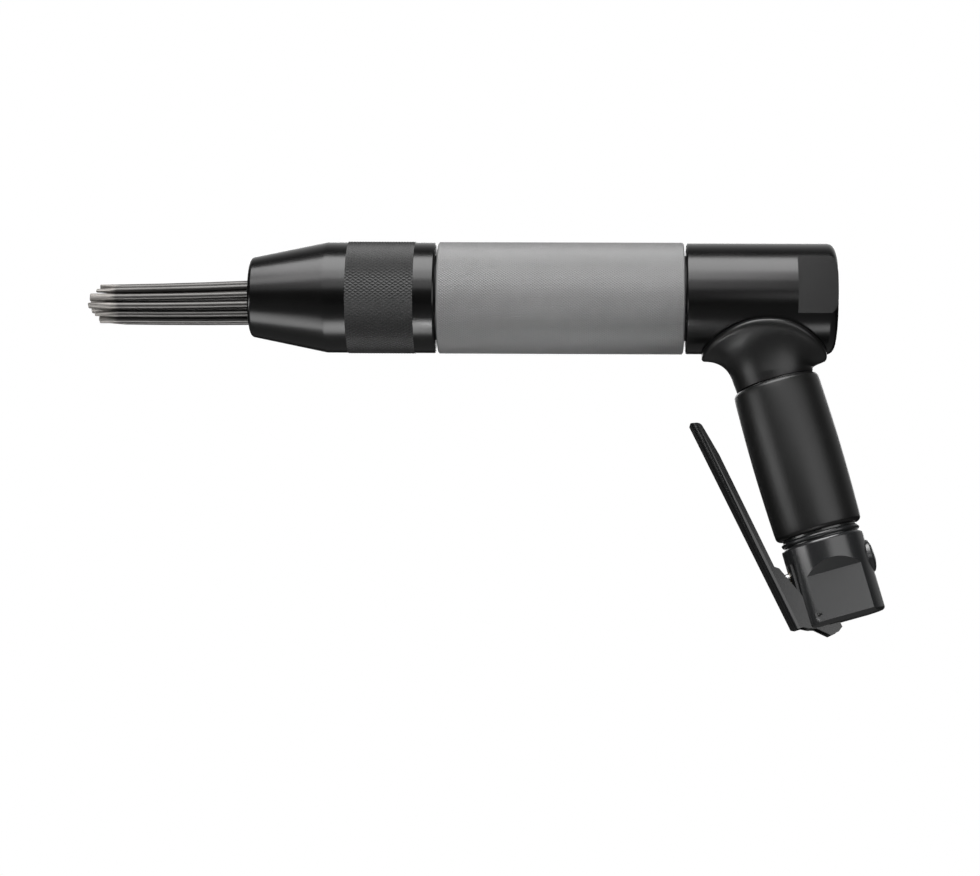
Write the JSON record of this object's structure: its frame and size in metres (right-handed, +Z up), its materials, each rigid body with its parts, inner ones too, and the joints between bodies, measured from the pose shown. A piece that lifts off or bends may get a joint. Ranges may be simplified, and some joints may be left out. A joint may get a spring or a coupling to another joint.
{
  "type": "needle scaler",
  "caption": "Pistol-grip pneumatic needle scaler: a round barrel with a bundle of steel needles, a knurled sleeve, a rubber-gripped handle and a lever throttle.",
  "frame": {"origin": "middle of the knurled grip sleeve, on the barrel axis", "axes": "+X along the barrel from the needles to the back head, +Z up with the handle hanging down, +Y to the left of the user"},
  "size_m": [0.3548, 0.0502, 0.1753],
  "materials": {
    "black_anodised": "smooth black anodising with a soft gloss",
    "grey_knurled": "fine diamond knurl, matt grey",
    "needle_steel": "drawn wire with ground tips",
    "bright_steel": "ground bright",
    "tool_steel": "turned and ground, oiled",
    "oxide_black": "turned steel with a black oxide skin",
    "spring_steel": "oil-hardened wire",
    "seal_rubber": "matt",
    "tube_alloy": "turned",
    "grip_rubber": "matt moulded",
    "valve_black": "satin black anodising",
    "lever_black": "satin black coating on pressed steel",
    "brass": "turned"
  },
  "bodies": {
    "tool_body": {"nose_tube": "black_anodised", "back_head": "black_anodised", "grip_sleeve": "grey_knurled", "valve_box": "tool_steel", "valve_cover": "tool_steel", "valve_dowels": "tool_steel", "cylinder": "oxide_black", "return_spring": "spring_steel", "throttle_spring": "spring_steel", "buffer_ring": "seal_rubber", "nose_o_ring": "seal_rubber", "handle_tube_o_rings": "seal_rubber", "front_isolator": "seal_rubber", "rear_isolator": "seal_rubber", "head_gasket": "seal_rubber", "plug_o_ring": "seal_rubber", "stem_o_ring": "seal_rubber", "handle_tube": "tube_alloy", "handle_collar": "grip_rubber", "handle_grip": "grip_rubber", "valve_body": "valve_black", "lock_ring": "valve_black", "throttle_plug": "valve_black", "lever_pin": "lever_black", "throttle_seat": "brass", "stem_bush": "brass", "inlet_strainer": "brass"},
    "needle_pack": {"needle_holder": "tool_steel", "needles": "needle_steel"},
    "anvil": {"anvil": "tool_steel"},
    "piston": {"piston": "tool_steel"},
    "valve_plate": {"valve_plate": "tool_steel"},
    "lever": {"lever": "lever_black"},
    "throttle_valve": {"throttle_stem": "bright_steel", "throttle_poppet": "brass", "poppet_seal": "seal_rubber"}
  },
  "joints": [
    {"name": "needle_slide", "type": "slide", "parent": "tool_body", "child": "needle_pack", "axis": [-1, 0, 0], "range_m": [0, 0.01], "stiffness_N_per_m": 2500, "deforming": ["return_spring"]},
    {"name": "anvil_slide", "type": "slide", "parent": "tool_body", "child": "anvil", "axis": [-1, 0, 0], "range_m": [0, 0.01]},
    {"name": "piston_stroke", "type": "slide", "parent": "tool_body", "child": "piston", "axis": [1, 0, 0], "range_m": [0, 0.045]},
    {"name": "valve_flutter", "type": "slide", "parent": "tool_body", "child": "valve_plate", "axis": [1, 0, 0], "range_m": [0, 0.0008]},
    {"name": "lever_squeeze", "type": "hinge", "parent": "tool_body", "child": "lever", "pos_m": [0.11298, 0, -0.14177], "axis": [0, 1, 0], "range_deg": [0, 8], "stiffness_Nm_per_rad": 3, "deforming": ["throttle_spring"]},
    {"name": "throttle_stroke", "type": "slide", "parent": "tool_body", "child": "throttle_valve", "axis": [0.9613, 0, 0.2756], "range_m": [0, 0.0029]}
  ],
  "couplings": [
    {"joint": "anvil_slide", "follows": "needle_slide", "ratio": 1},
    {"joint": "throttle_stroke", "follows": "lever_squeeze", "m_per_rad": 0.0205}
  ]
}
